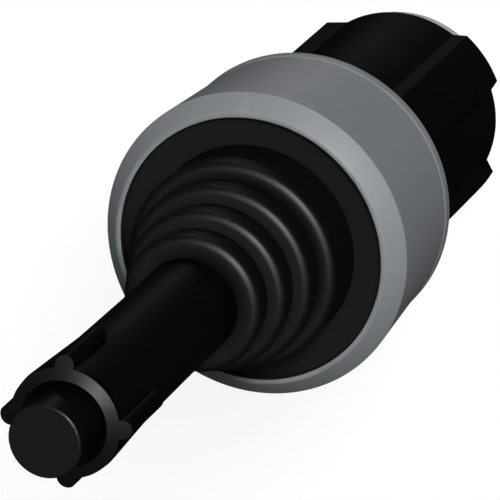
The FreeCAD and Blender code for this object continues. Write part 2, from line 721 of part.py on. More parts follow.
def five_holes(radius, low, high):
    """Cutters for the five plungers."""
    holes = [rod(radius, low - REACH, high + REACH)]
    for _, place in plunger_places():
        holes.append(rod(radius, low - REACH, high + REACH, place.x, place.y))
    return holes


def spring_seat():
    """Disc under the plunger springs."""
    body = rod(CARTRIDGE_R, SPRING_SEAT_BOTTOM_Z, SPRING_SEAT_Z)
    return body.cut(five_holes(PLUNGER_R + SPRING_SEAT_PLAY, SPRING_SEAT_BOTTOM_Z, SPRING_SEAT_Z))


def cap_key():
    """Raised key on the rear cap's face, a short piece of a ring."""
    radius = CAP_R - CAP_KEY_STEP
    low = CAP_FACE_Z - CAP_KEY_H
    sector = Part.makeCylinder(radius, CAP_KEY_H + CAP_EDGE, AXIS_Z * low, AXIS_Z, CAP_KEY_SPREAD)
    key = sector.cut(rod(radius - CAP_KEY_T, low - REACH, CAP_FACE_Z + CAP_EDGE + REACH))
    key.rotate(ORIGIN, AXIS_Z, CAP_KEY_AT - CAP_KEY_SPREAD / 2)
    return key


def rear_cap():
    """Light end cap that snaps in the housing and holds the plunger cartridge."""
    body = turned((
        (0, CAP_FACE_Z),
        (CAP_R, CAP_FACE_Z, CAP_EDGE),
        (CAP_R, -HOUSING_BACK),
        (CARTRIDGE_R, -HOUSING_BACK),
        (CARTRIDGE_R, SPRING_SEAT_BOTTOM_Z),
        (CARTRIDGE_R - CAP_SKIRT_T, SPRING_SEAT_BOTTOM_Z),
        (CARTRIDGE_R - CAP_SKIRT_T, -HOUSING_BACK),
        (0, -HOUSING_BACK),
    ))
    bead = turned(snap_section(CARTRIDGE_R - BEAD_SUNK, 0.0))
    body = body.fuse(bead).fuse(cap_key()).removeSplitter()
    return body.cut(five_holes(PLUNGER_R + RUN, CAP_FACE_Z, -HOUSING_BACK))


def plunger_spring(place):
    """Return spring between a plunger's collar and the spring seat."""
    return wound_spring(SPRING_R, SPRING_WIRE, SPRING_SEAT_Z, SPRING_TOP_Z, SPRING_TURNS,
                        place.x, place.y)


def main():
    """Make every piece and write one STEP file for each."""
    os.makedirs("parts", exist_ok=True)
    shapes = {
        "bezel_ring": bezel_ring(),
        "boot_clamp_ring": boot_clamp_ring(),
        "bellows": bellows(),
        "gate_plate": gate_plate(),
        "collar_housing": collar_housing(),
        "panel_gasket": panel_gasket(),
        "housing_seal": housing_seal(),
        "ring_pivot_pins": ring_pivot_pins(),
        "gimbal_ring": gimbal_ring(),
        "lever_pivot_pins": lever_pivot_pins(),
        "lever_hub": lever_hub(),
        "lever_tube": lever_tube(),
        "hub_clip": hub_clip(),
        "swash_plate": swash_plate(),
        "grip_sleeve": grip_sleeve(),
        "grip_end_collar": grip_end_collar(),
        "button_bush": button_bush(),
        "button_spring": button_spring(),
        "tip_button": tip_button(),
        "push_rod": push_rod(),
        "plunger_guide": plunger_guide(),
        "spring_seat": spring_seat(),
        "rear_cap": rear_cap(),
        "centre_plunger": centre_plunger(),
        "spring_centre": plunger_spring(ORIGIN),
    }
    for side, place in plunger_places():
        shapes["plunger_" + side] = side_plunger(place)
        shapes["spring_" + side] = plunger_spring(place)
    for name, shape in shapes.items():
        shape.exportStep("parts/" + name + ".step")
        print(name, shape.ShapeType, len(shape.Solids), "valid" if shape.isValid() else "NOT VALID",
              round(shape.Volume, 2))


main()
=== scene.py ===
"""Panel joystick: the look of the lever, bellows, bezel and lobed collar round their solids."""

import json
import logging
import math
from dataclasses import dataclass
from enum import Enum
from typing import Callable, Iterable, Sequence

import bpy
from mathutils import Matrix, Vector

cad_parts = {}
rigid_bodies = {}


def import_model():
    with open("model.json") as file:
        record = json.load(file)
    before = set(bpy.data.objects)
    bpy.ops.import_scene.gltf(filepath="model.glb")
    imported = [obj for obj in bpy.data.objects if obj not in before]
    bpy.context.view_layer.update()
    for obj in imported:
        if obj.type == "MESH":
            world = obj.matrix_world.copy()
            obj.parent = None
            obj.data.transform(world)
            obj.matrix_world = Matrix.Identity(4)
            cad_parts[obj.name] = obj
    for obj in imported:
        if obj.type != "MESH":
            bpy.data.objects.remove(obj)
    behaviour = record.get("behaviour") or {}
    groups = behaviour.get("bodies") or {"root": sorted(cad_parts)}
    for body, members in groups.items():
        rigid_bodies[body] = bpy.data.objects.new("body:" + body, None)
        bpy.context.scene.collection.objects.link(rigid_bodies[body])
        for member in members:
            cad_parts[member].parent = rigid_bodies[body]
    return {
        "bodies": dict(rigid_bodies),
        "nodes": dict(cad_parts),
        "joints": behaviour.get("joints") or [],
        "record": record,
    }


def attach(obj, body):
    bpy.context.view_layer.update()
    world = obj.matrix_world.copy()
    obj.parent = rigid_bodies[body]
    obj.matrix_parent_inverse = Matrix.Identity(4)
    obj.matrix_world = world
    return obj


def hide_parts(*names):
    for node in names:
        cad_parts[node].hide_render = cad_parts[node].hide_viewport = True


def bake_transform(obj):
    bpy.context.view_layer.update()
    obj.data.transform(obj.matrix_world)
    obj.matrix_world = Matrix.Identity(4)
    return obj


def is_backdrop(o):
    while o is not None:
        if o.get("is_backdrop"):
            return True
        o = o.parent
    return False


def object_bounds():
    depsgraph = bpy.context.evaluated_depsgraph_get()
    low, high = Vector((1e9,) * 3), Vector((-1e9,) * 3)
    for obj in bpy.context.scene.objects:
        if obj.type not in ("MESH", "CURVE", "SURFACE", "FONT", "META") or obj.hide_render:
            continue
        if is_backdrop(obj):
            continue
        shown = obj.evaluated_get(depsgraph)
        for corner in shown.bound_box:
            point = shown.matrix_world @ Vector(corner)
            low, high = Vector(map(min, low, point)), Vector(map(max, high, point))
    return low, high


log = logging.getLogger("joystick")

MM = 0.001
SMOOTH_DEG = 32.0       # faces that meet at less than this angle are smooth
CORNER_SHARE = 0.48     # most of an edge that the rounding of one corner may take
RING_SLANT = 0.83       # height's share in the count of turning rings
WHITE = (1.0, 1.0, 1.0, 1.0)

Profile = list[tuple[float, float]]
Colour = tuple[float, float, float]


class Body(Enum):
    """Names of the rigid bodies that the pieces ride on."""

    BASE = "base"
    GIMBAL = "gimbal"
    LEVER = "lever"


class Slot(Enum):
    """Material slots of the part's record."""

    BEZEL = "bezel_metal"
    PLASTIC = "black_plastic"
    RUBBER = "black_rubber"
    STEEL = "bright_steel"
    SPRING = "spring_steel"
    BRASS = "brass"
    LIGHT = "light_plastic"


# ---------------------------------------------------------------------------
# Node helpers
# ---------------------------------------------------------------------------


class NodeSketch:
    """A node tree with short calls for adding and joining nodes."""

    def __init__(self, tree: bpy.types.NodeTree) -> None:
        """Keep the tree.

        Args:
            tree: The node tree to work on.
        """
        self.tree = tree

    def add(self, kind: str, **settings: object) -> bpy.types.Node:
        """Add a node.

        Args:
            kind: Node type, such as ShaderNodeMix.
            **settings: Attributes to set on the node.

        Returns:
            The new node.
        """
        node = self.tree.nodes.new(kind)
        for name, value in settings.items():
            setattr(node, name, value)
        return node

    def join(self, source: bpy.types.NodeSocket, target: bpy.types.NodeSocket) -> None:
        """Link an output to an input."""
        self.tree.links.new(source, target)

    def math(
        self,
        operation: str,
        first: object,
        second: object = 0.0,
        third: object = 0.0,
    ) -> bpy.types.NodeSocket:
        """Add a Math node.

        Args:
            operation: The node's operation.
            first: Socket or number.
            second: Socket or number.
            third: Socket or number.

        Returns:
            The node's output.
        """
        node = self.add("ShaderNodeMath", operation=operation)
        for slot, value in zip(node.inputs, (first, second, third)):
            if isinstance(value, bpy.types.NodeSocket):
                self.join(value, slot)
            else:
                slot.default_value = value
        return node.outputs[0]

    def ramp(
        self, source: bpy.types.NodeSocket, low: float, high: float, to_low: float, to_high: float
    ) -> bpy.types.NodeSocket:
        """Map a range of a value to another range, smoothly.

        Args:
            source: The value.
            low: Start of its range.
            high: End of its range.
            to_low: Result at the start.
            to_high: Result at the end.

        Returns:
            The mapped value.
        """
        node = self.add("ShaderNodeMapRange", interpolation_type="SMOOTHSTEP")
        self.join(source, node.inputs["Value"])
        node.inputs["From Min"].default_value = low
        node.inputs["From Max"].default_value = high
        node.inputs["To Min"].default_value = to_low
        node.inputs["To Max"].default_value = to_high
        return node.outputs["Result"]

    def tint(
        self,
        amount: bpy.types.NodeSocket,
        first: "Colour | bpy.types.NodeSocket",
        second: "Colour | bpy.types.NodeSocket",
    ) -> bpy.types.NodeSocket:
        """Blend two colours by an amount.

        Args:
            amount: 0 gives the first colour, 1 the second.
            first: Linear colour, or a socket that gives one.
            second: Linear colour, or a socket that gives one.

        Returns:
            The blended colour.
        """
        node = self.add("ShaderNodeMix", data_type="RGBA")
        self.join(amount, node.inputs["Factor"])
        for slot, colour in ((node.inputs[6], first), (node.inputs[7], second)):
            if isinstance(colour, bpy.types.NodeSocket):
                self.join(colour, slot)
            else:
                slot.default_value = (*colour, 1.0)
        return node.outputs[2]


def radius_about_z(
    sketch: NodeSketch, parts: bpy.types.Node
) -> bpy.types.NodeSocket:
    """Distance from the Z axis of a place that is split in X, Y and Z."""
    squares = sketch.math(
        "ADD",
        sketch.math("MULTIPLY", parts.outputs["X"], parts.outputs["X"]),
        sketch.math("MULTIPLY", parts.outputs["Y"], parts.outputs["Y"]),
    )
    return sketch.math("SQRT", squares)


def seen_or_mirrored(sketch: NodeSketch) -> bpy.types.NodeSocket:
    """1 for the rays of the camera, of mirrors and of clear pieces, 0 for the rest."""
    path = sketch.add("ShaderNodeLightPath")
    bounced = sketch.math(
        "MAXIMUM", path.outputs["Is Glossy Ray"], path.outputs["Is Transmission Ray"]
    )
    return sketch.math("MAXIMUM", path.outputs["Is Camera Ray"], bounced)


class EffectGroup:
    """A shader node group with named inputs and outputs, built once."""

    def __init__(
        self,
        name: str,
        inputs: dict[str, float],
        outputs: Sequence[str],
        draw: Callable[[NodeSketch, dict, dict], None],
    ) -> None:
        """Build the group.

        Args:
            name: Name of the group.
            inputs: Names and default values of its inputs.
            outputs: Names of its outputs.
            draw: Fills the group, given the sketch and its sockets by name.
        """
        self.tree = bpy.data.node_groups.new(name, "ShaderNodeTree")
        for label, value in inputs.items():
            socket = self.tree.interface.new_socket(
                name=label, in_out="INPUT", socket_type="NodeSocketFloat"
            )
            socket.default_value = value
        for label in outputs:
            self.tree.interface.new_socket(
                name=label, in_out="OUTPUT", socket_type="NodeSocketFloat"
            )
        sketch = NodeSketch(self.tree)
        entry = sketch.add("NodeGroupInput")
        leave = sketch.add("NodeGroupOutput")
        draw(
            sketch,
            {label: entry.outputs[label] for label in inputs},
            {label: leave.inputs[label] for label in outputs},
        )

    def place(self, sketch: NodeSketch, **values: float) -> bpy.types.Node:
        """Put the group in a material.

        Args:
            sketch: The material's sketch.
            **values: Values of its inputs, spaces written as underscores.

        Returns:
            The group node.
        """
        node = sketch.add("ShaderNodeGroup", node_tree=self.tree)
        for label, value in values.items():
            node.inputs[label.replace("_", " ")].default_value = value
        return node


def draw_grain(sketch: NodeSketch, given: dict, out: dict) -> None:
    """Fine moulded grain and slow cloudy variation, from the place on the object."""
    place = sketch.add("ShaderNodeTexCoord").outputs["Object"]
    fine = sketch.add("ShaderNodeTexNoise", noise_dimensions="3D")
    sketch.join(place, fine.inputs["Vector"])
    sketch.join(given["Fine scale"], fine.inputs["Scale"])
    fine.inputs["Detail"].default_value = 3.0
    cloud = sketch.add("ShaderNodeTexNoise", noise_dimensions="3D")
    sketch.join(place, cloud.inputs["Vector"])
    sketch.join(given["Cloud scale"], cloud.inputs["Scale"])
    cloud.inputs["Detail"].default_value = 2.0
    sketch.join(fine.outputs["Fac"], out["Height"])
    sketch.join(sketch.ramp(cloud.outputs["Fac"], 0.3, 0.7, 0.0, 1.0), out["Cloud"])


def draw_turning(sketch: NodeSketch, given: dict, out: dict) -> None:
    """Fine rings left by turning, round the object's Z axis."""
    place = sketch.add("ShaderNodeTexCoord").outputs["Object"]
    parts = sketch.add("ShaderNodeSeparateXYZ")
    sketch.join(place, parts.inputs[0])
    slant = sketch.math("MULTIPLY", parts.outputs["Z"], RING_SLANT)
    along = sketch.math("ADD", radius_about_z(sketch, parts), slant)
    rings = sketch.add("ShaderNodeTexNoise", noise_dimensions="1D")
    sketch.join(sketch.math("MULTIPLY", along, given["Pitch"]), rings.inputs["W"])
    rings.inputs["Scale"].default_value = 1.0
    rings.inputs["Detail"].default_value = 2.0
    sketch.join(rings.outputs["Fac"], out["Height"])


def draw_wear(sketch: NodeSketch, given: dict, out: dict) -> None:
    """A mask of rubbed edges, from how sharply the surface bends."""
    point = sketch.add("ShaderNodeNewGeometry").outputs["Pointiness"]
    place = sketch.add("ShaderNodeTexCoord").outputs["Object"]
    breaks = sketch.add("ShaderNodeTexNoise", noise_dimensions="3D")
    sketch.join(place, breaks.inputs["Vector"])
    sketch.join(given["Break scale"], breaks.inputs["Scale"])
    edge = sketch.ramp(point, 0.515, 0.56, 0.0, 1.0)
    broken = sketch.ramp(breaks.outputs["Fac"], 0.35, 0.6, 0.35, 1.0)
    sketch.join(sketch.math("MULTIPLY", edge, broken), out["Edge"])


def draw_walls(sketch: NodeSketch, given: dict, out: dict) -> None:
    """Masks of the walls that stand along the Z axis, and of what lies inside a radius."""
    coordinate = sketch.add("ShaderNodeTexCoord")
    facing = sketch.add("ShaderNodeSeparateXYZ")
    sketch.join(coordinate.outputs["Normal"], facing.inputs[0])
    level = sketch.math("ABSOLUTE", facing.outputs["Z"])
    sketch.join(sketch.ramp(level, 0.25, 0.75, 1.0, 0.0), out["Upright"])
    place = sketch.add("ShaderNodeSeparateXYZ")
    sketch.join(coordinate.outputs["Object"], place.inputs[0])
    inside = sketch.math("LESS_THAN", radius_about_z(sketch, place), given["Inside radius"])
    sketch.join(inside, out["Inside"])


class Effects:
    """The shared effects of the joystick's finishes."""

    def __init__(self) -> None:
        """Build each effect once."""
        self.grain = EffectGroup(
            "moulded_grain",
            {"Fine scale": 9000.0, "Cloud scale": 160.0},
            ("Height", "Cloud"),
            draw_grain,
        )
        self.turning = EffectGroup("turned_rings", {"Pitch": 9000.0}, ("Height",), draw_turning)
        self.wear = EffectGroup("rubbed_edges", {"Break scale": 400.0}, ("Edge",), draw_wear)
        self.walls = EffectGroup(
            "walls_by_place", {"Inside radius": 0.0}, ("Upright", "Inside"), draw_walls
        )


# ---------------------------------------------------------------------------
# Finishes
# ---------------------------------------------------------------------------


BORE_PAINTED_SHADE = (0.010, 0.010, 0.010)       # painted shade: near-black tone over the bezel's bore, standing in for the shade in that recess
GLOSS_INDEX = 3.0       # high, so that a thin gloss isn't lighter towards the edges
BUMP_STRENGTH = 0.5


@dataclass(frozen=True)
class Finish:
    """A material made of one surface with grain, cloudiness and edge wear.

    Attributes:
        name: Name of the material.
        slot: Slot of the record that it belongs to.
        colour: Linear colour.
        second: Linear colour that the clouds and worn edges lean to.
        metallic: Metal share.
        roughness: Lowest and highest roughness.
        specular: Specular level of a surface that isn't metal.
        fine_scale: Scale of the grain.
        cloud_scale: Scale of the clouds.
        bump: Height of the grain in metres.
        turned: Whether turning rings take the place of the grain.
        cloud_share: How far the clouds lean to the second colour.
        wear_share: How far worn edges lean to the second colour.
        coat: Weight of the gloss that a thin clear coat gives.
        coat_roughness: Roughness of that coat.
        coat_index: Index of refraction of that coat.
        painted_upright_tone: Linear colour painted on walls along the Z axis as painted light or
            shade, where it differs.
        upright_coat: Share of the coat's gloss that those walls keep.
        painted_bore_shade_radius: Radius in metres inside which the surface takes a painted
            shade, the near-black tone of a shaded recess.
    """

    name: str
    slot: Slot
    colour: Colour
    second: Colour
    metallic: float
    roughness: tuple[float, float]
    specular: float = 0.5
    fine_scale: float = 9000.0
    cloud_scale: float = 160.0
    bump: float = 0.00001
    turned: bool = False
    cloud_share: float = 0.5
    wear_share: float = 0.3
    coat: float = 0.0
    coat_roughness: float = 0.3
    coat_index: float = 1.5
    painted_upright_tone: "Colour | None" = None
    upright_coat: float = 1.0
    painted_bore_shade_radius: float = 0.0

    def build(self, effects: Effects) -> bpy.types.Material:
        """Make the material.

        Args:
            effects: The shared effects.

        Returns:
            The material.
        """
        material = bpy.data.materials.new(self.name)
        material.use_nodes = True
        material.node_tree.nodes.clear()
        sketch = NodeSketch(material.node_tree)
        surface = sketch.add("ShaderNodeBsdfPrincipled")
        output = sketch.add("ShaderNodeOutputMaterial")
        sketch.join(surface.outputs[0], output.inputs["Surface"])
        surface.inputs["Metallic"].default_value = self.metallic
        surface.inputs["Specular IOR Level"].default_value = self.specular
        surface.inputs["Coat Roughness"].default_value = self.coat_roughness
        surface.inputs["Coat IOR"].default_value = self.coat_index
        grain = effects.grain.place(
            sketch, Fine_scale=self.fine_scale, Cloud_scale=self.cloud_scale
        )
        wear = effects.wear.place(sketch)
        lean = sketch.math(
            "ADD",
            sketch.math("MULTIPLY", grain.outputs["Cloud"], self.cloud_share),
            sketch.math("MULTIPLY", wear.outputs["Edge"], self.wear_share),
        )
        lean = sketch.math("MINIMUM", lean, 1.0)
        colour = sketch.tint(lean, self.colour, self.second)
        walls = effects.walls.place(sketch, Inside_radius=self.painted_bore_shade_radius)
        gloss = sketch.ramp(
            walls.outputs["Upright"], 0.0, 1.0, self.coat, self.coat * self.upright_coat
        )
        sketch.join(gloss, surface.inputs["Coat Weight"])
        # Painted light and shade: walls along the Z axis take their own colour, darker than the
        # flats on the bezel and plate and lighter on the boot.
        if self.painted_upright_tone:
            colour = sketch.tint(walls.outputs["Upright"], colour, self.painted_upright_tone)
        # Painted shade: a near-black tone inside the bore radius.
        if self.painted_bore_shade_radius:
            colour = sketch.tint(walls.outputs["Inside"], colour, BORE_PAINTED_SHADE)
        sketch.join(colour, surface.inputs["Base Color"])
        low, high = self.roughness
        sketch.join(
            sketch.ramp(grain.outputs["Cloud"], 0.0, 1.0, low, high), surface.inputs["Roughness"]
        )
        height = grain.outputs["Height"]
        if self.turned:
            height = effects.turning.place(sketch, Pitch=self.fine_scale).outputs["Height"]
        bump = sketch.add("ShaderNodeBump")
        bump.inputs["Strength"].default_value = BUMP_STRENGTH
        bump.inputs["Distance"].default_value = self.bump
        sketch.join(height, bump.inputs["Height"])
        sketch.join(bump.outputs["Normal"], surface.inputs["Normal"])
        return material


BEZEL_METAL = Finish(
    name="satin_grey_metal",
    slot=Slot.BEZEL,
    colour=(0.204, 0.217, 0.225),
    second=(0.222, 0.236, 0.243),
    metallic=0.0,
    roughness=(0.42, 0.50),
    specular=0.0,
    turned=True,
    fine_scale=14000.0,
    bump=0.000004,
    wear_share=0.5,
    coat=0.010,
    coat_roughness=0.5,
    coat_index=GLOSS_INDEX,
    # painted shade: the upright side band darker than the chamfer
    painted_upright_tone=(0.176, 0.188, 0.196),
    # painted shade over the bore
    painted_bore_shade_radius=0.01256,
)
GRIP_PLASTIC = Finish(
    name="black_moulding",
    slot=Slot.PLASTIC,
    colour=(0.0012, 0.0012, 0.0012),
    second=(0.0022, 0.0022, 0.0022),
    metallic=0.0,
    roughness=(0.5, 0.6),
    specular=0.0,
    coat=0.004,
    coat_roughness=0.36,
    coat_index=GLOSS_INDEX,
)
PLATE_PLASTIC = Finish(
    name="black_plate",
    slot=Slot.PLASTIC,
    colour=(0.0076, 0.0076, 0.0076),
    second=(0.0090, 0.0090, 0.0090),
    metallic=0.0,
    roughness=(0.5, 0.6),
    specular=0.0,
    coat=0.005,
    coat_roughness=0.36,
    coat_index=GLOSS_INDEX,
    # painted light and shade: flats lighter than the upright walls
    painted_upright_tone=(0.0015, 0.0015, 0.0015),
)
BOOT_RUBBER = Finish(
    name="black_rubber_skin",
    slot=Slot.RUBBER,
    colour=(0.0006, 0.0006, 0.0006),
    second=(0.0014, 0.0014, 0.0014),
    metallic=0.0,
    roughness=(0.5, 0.6),
    specular=0.0,
    fine_scale=6000.0,
    coat=0.0075,
    coat_roughness=0.48,
    coat_index=GLOSS_INDEX,
    upright_coat=0.7,
    # painted light: upright walls lighter than the flats
    painted_upright_tone=(0.0016, 0.0016, 0.0016),
)
END_PLASTIC = Finish(
    name="black_lever_end",
    slot=Slot.PLASTIC,
    colour=(0.0008, 0.0008, 0.0008),
    second=(0.0014, 0.0014, 0.0014),
    metallic=0.0,
    roughness=(0.5, 0.6),
    specular=0.0,
    coat=0.013,
    coat_roughness=0.32,
    coat_index=GLOSS_INDEX,
    upright_coat=0.25,
)
HOUSING_PLASTIC = Finish(
    name="black_housing",
    slot=Slot.PLASTIC,
    colour=(0.0012, 0.0012, 0.0012),
    second=(0.0022, 0.0022, 0.0022),
    metallic=0.0,
    roughness=(0.5, 0.6),
    specular=0.0,
    coat=0.003,
    coat_roughness=0.4,
    coat_index=GLOSS_INDEX,
)
GROUND_STEEL = Finish(
    name="ground_steel",
    slot=Slot.STEEL,
    colour=(0.55, 0.56, 0.58),
    second=(0.68, 0.69, 0.7),
    metallic=1.0,
    roughness=(0.24, 0.34),
    turned=True,
    bump=0.000003,
)
WIRE_STEEL = Finish(
    name="spring_wire",
    slot=Slot.SPRING,
    colour=(0.42, 0.42, 0.44),
    second=(0.58, 0.58, 0.6),
    metallic=1.0,
    roughness=(0.25, 0.35),
    bump=0.000003,
)
TURNED_BRASS = Finish(
    name="turned_brass",
    slot=Slot.BRASS,
    colour=(0.58, 0.40, 0.16),
    second=(0.72, 0.54, 0.26),
    metallic=1.0,
    roughness=(0.24, 0.34),
    turned=True,
    bump=0.000003,
)
NATURAL_ACETAL = Finish(
    name="natural_acetal",
    slot=Slot.LIGHT,
    colour=(0.56, 0.56, 0.52),
    second=(0.64, 0.64, 0.60),
    metallic=0.0,
    roughness=(0.38, 0.46),
    specular=0.45,
)
CAP_PLASTIC = Finish(
    name="cap_plastic",
    slot=Slot.LIGHT,
    colour=(0.36, 0.36, 0.355),
    second=(0.41, 0.41, 0.405),
    metallic=0.0,
    roughness=(0.42, 0.5),
    specular=0.0,
)

FINISHES = (
    BEZEL_METAL,
    GRIP_PLASTIC,
    PLATE_PLASTIC,
    BOOT_RUBBER,
    END_PLASTIC,
    HOUSING_PLASTIC,
    GROUND_STEEL,
    WIRE_STEEL,
    TURNED_BRASS,
    NATURAL_ACETAL,
    CAP_PLASTIC,
)


class Workshop:
    """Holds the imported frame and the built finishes, and fastens pieces to bodies."""

    def __init__(self, frame: dict) -> None:
        """Build every finish.
        """
        self.nodes: dict[str, bpy.types.Object] = frame["nodes"]
        effects = Effects()
        self.materials = {finish.name: finish.build(effects) for finish in FINISHES}

    def dress(self, finish: Finish, *names: str) -> None:
        """Give solids of the frame a finish.

        Args:
            finish: The finish.
            *names: Names of the solids.
        """
        for name in names:
            node = self.nodes[name]
            node.data.materials.clear()
            node.data.materials.append(self.materials[finish.name])
            log.info("dressed %s in %s", name, finish.name)

    def finish_piece(
        self, piece: bpy.types.Object, finish: Finish, replaced: Iterable[str] = ()
    ) -> None:
        """Give a new piece its finish and hide the solids that it stands for.

        Args:
            piece: The piece.
            finish: Its finish.
            replaced: Names of the solids that it stands for.
        """
        piece.data.materials.clear()
        piece.data.materials.append(self.materials[finish.name])
        if replaced:
            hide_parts(*replaced)
        log.info("made %s in %s", piece.name, finish.name)


# ---------------------------------------------------------------------------
# Mesh helpers
# ---------------------------------------------------------------------------


def new_piece(name: str, points: list, faces: list) -> bpy.types.Object:
    """Make an object from points and faces.

    Args:
        name: Name of the piece.
        points: Corner points in metres.
        faces: Lists of point numbers.

    Returns:
        The object, linked to the scene.
    """
    mesh = bpy.data.meshes.new(name)
    mesh.from_pydata(points, [], faces)
    mesh.validate()
    for face in mesh.polygons:
        face.use_smooth = True
    mesh.set_sharp_from_angle(angle=math.radians(SMOOTH_DEG))
    piece = bpy.data.objects.new(name, mesh)
    bpy.context.scene.collection.objects.link(piece)
    return piece


def rounded(outline: Sequence[tuple], steps: int) -> Profile:
    """Round the corners of an outline.

    Args:
        outline: Points (radius, height) or (radius, height, rounding), in millimetres.
        steps: Lengths in each rounded corner.

    Returns:
        The outline's points with each corner as an arc.
    """
    result: Profile = []
    last = len(outline) - 1
    for i, point in enumerate(outline):
        here = Vector(point[:2])
        wanted = point[2] if len(point) > 2 else 0.0
        if wanted <= 0.0 or i in (0, last):
            result.append((here.x, here.y))
            continue
        back = Vector(outline[i - 1][:2]) - here
        ahead = Vector(outline[i + 1][:2]) - here
        half = back.angle(ahead) / 2.0
        most = CORNER_SHARE * min(back.length, ahead.length)
        setback = min(wanted / math.tan(half), most)
        radius = setback * math.tan(half)
        centre = here + (back.normalized() + ahead.normalized()).normalized() * (
            radius / math.sin(half)
        )
        start = here + back.normalized() * setback - centre
        end = here + ahead.normalized() * setback - centre
        turn = start.angle_signed(end)
        for step in range(steps + 1):
            spoke = start.copy()
            spoke.rotate(Matrix.Rotation(-turn * step / steps, 2))
            result.append((centre.x + spoke.x, centre.y + spoke.y))
    return result


def lathe(name: str, outline: Profile, segments: int) -> bpy.types.Object:
    """Turn a closed outline round the Z axis.

    Args:
        name: Name of the piece.
        outline: Points (radius, height) in millimetres.
        segments: Steps round the axis.

    Returns:
        The turned piece.
    """
    points = []
    for radius, height in outline:
        for k in range(segments):
            angle = 2.0 * math.pi * k / segments
            points.append(
                (radius * MM * math.cos(angle), radius * MM * math.sin(angle), height * MM)
            )
    faces = []
    rows = len(outline)
    for i in range(rows):
        low = i * segments
        high = (i + 1) % rows * segments
        for k in range(segments):
            after = (k + 1) % segments
            faces.append((low + k, low + after, high + after, high + k))
    return new_piece(name, points, faces)


# ---------------------------------------------------------------------------
# Sub-assemblies
# ---------------------------------------------------------------------------


@dataclass
class Bezel:
    """The turned metal ring, with its edges broken as a lathe leaves them.

    Sizes are in millimetres.
    """

    hole_r: float = 11.05
    bore_r: float = 12.5
    floor: float = 1.6
    rim_r: float = 13.8
    rim_low: float = 0.95
    rim_high: float = 1.2
    waist_r: float = 13.68
    front_r: float = 14.5
    front: float = 14.3
    top: float = 16.0
    lip: float = 0.08
    lip_depth: float = 0.16
    land: float = 0.4
    break_edge: float = 0.12
    soft_edge: float = 0.3
    corner_steps: int = 5
    segments: int = 256

    def outline(self) -> list[tuple]:
        """Cross-section, from the lip outwards and round the back."""
        lip_r = self.bore_r + self.lip
        return [
            (self.bore_r, self.floor),
            (self.bore_r, self.top - self.lip_depth, self.break_edge),
            (lip_r, self.top, self.break_edge),
            (lip_r + self.land, self.top, self.soft_edge),
            (self.front_r, self.front, self.break_edge),
            (self.waist_r, self.rim_high, self.break_edge),
            (self.rim_r, self.rim_low, self.break_edge),
            (self.rim_r, 0.0, self.break_edge),
            (self.hole_r, 0.0),
            (self.hole_r, self.floor),
        ]

    def build(self, shop: Workshop) -> None:
        """Make the ring in place of its solid.

        Args:
            shop: The finishes and solids.
        """
        section = rounded(self.outline(), self.corner_steps)
        section.reverse()
        ring = lathe("bezel_turned", section, self.segments)
        shop.finish_piece(ring, BEZEL_METAL, ("bezel_ring",))
        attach(ring, Body.BASE.value)


